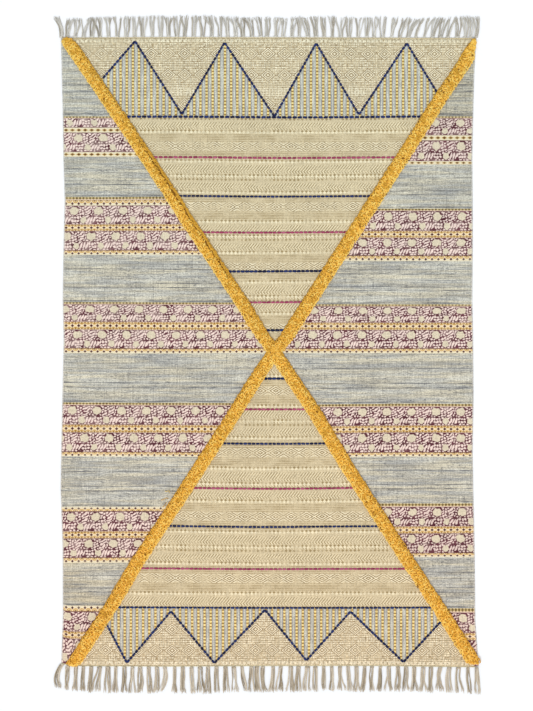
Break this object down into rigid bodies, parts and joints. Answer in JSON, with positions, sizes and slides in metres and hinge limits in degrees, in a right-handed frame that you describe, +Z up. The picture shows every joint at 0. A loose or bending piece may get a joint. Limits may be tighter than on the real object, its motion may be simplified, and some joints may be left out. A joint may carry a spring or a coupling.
{
  "type": "dhurrie rug",
  "caption": "Flat rectangular cotton dhurrie with printed bands, a tufted diagonal cross, running-stitch lines and knotted tassel fringes at both ends.",
  "frame": {"origin": "centre of the rug's footprint, fringes included, on the underside that lies on the floor", "axes": "+X across the rug to its right seen from above, +Y along its length to the top end, +Z up from the floor out of the face"},
  "size_m": [1.257, 2.0004, 0.0141],
  "materials": {
    "cloth": "matte flat-woven printed cotton",
    "tuft": "matte looped cotton pile, mustard",
    "fringe": "matte undyed cotton yarn"
  },
  "bodies": {
    "root": {"rug_ground": "cloth", "tuft_upper_left": "tuft", "tuft_upper_right": "tuft", "tuft_lower_left": "tuft", "tuft_lower_right": "tuft", "fringe_top": "fringe", "fringe_bottom": "fringe"}
  },
  "joints": []
}
